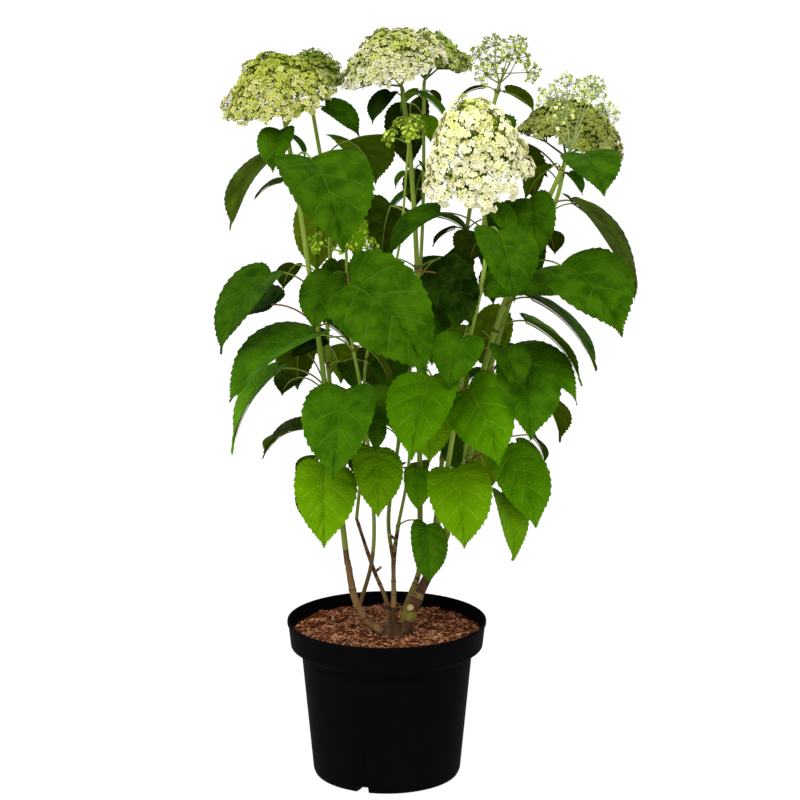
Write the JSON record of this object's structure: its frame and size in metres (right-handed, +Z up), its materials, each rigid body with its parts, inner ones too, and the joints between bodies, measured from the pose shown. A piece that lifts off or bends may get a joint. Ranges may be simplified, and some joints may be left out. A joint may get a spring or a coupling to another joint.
{
  "type": "hydrangea shrub in pot",
  "caption": "Upright leafy hydrangea shrub with rounded cream flower heads on tall green shoots, growing in a round black nursery pot filled with bark soil.",
  "frame": {"origin": "centre of the pot's flat underside, on the ground", "axes": "+Z up along the plant's height, -Y towards the front of the plant, +X to its right seen from the front"},
  "size_m": [0.4603, 0.4557, 0.8463],
  "materials": {
    "pot": "smooth matte black moulded plastic",
    "soil": "loose reddish-brown bark and peat fibre, dull",
    "bark": "pale brown woody cane with flaking bark",
    "foliage": "soft satin green leaves on green stalks",
    "blossom": "soft cream-white and lime florets",
    "bud": "small yellow-green buds and young florets"
  },
  "bodies": {
    "root": {"cane_centre": "bark", "cane_inner": "bark", "cane_left": "bark", "cane_right": "bark", "cane_upright": "bark", "flowers_centre": "blossom", "flowers_centre_rear": "blossom", "flowers_far_left": "blossom", "flowers_far_right": "blossom", "flowers_front_left": "bud", "flowers_inner": "bud", "flowers_left_rear": "blossom", "flowers_right": "bud", "flowers_right_centre": "bud", "flowers_right_front": "blossom", "foliage_centre": "foliage", "foliage_centre_rear": "foliage", "foliage_far_left": "foliage", "foliage_far_right": "foliage", "foliage_front_left": "foliage", "foliage_inner": "foliage", "foliage_left_rear": "foliage", "foliage_low_centre": "foliage", "foliage_right": "foliage", "foliage_right_centre": "foliage", "foliage_right_front": "foliage", "pot": "pot", "root_crown": "bark", "soil": "soil"}
  },
  "joints": []
}
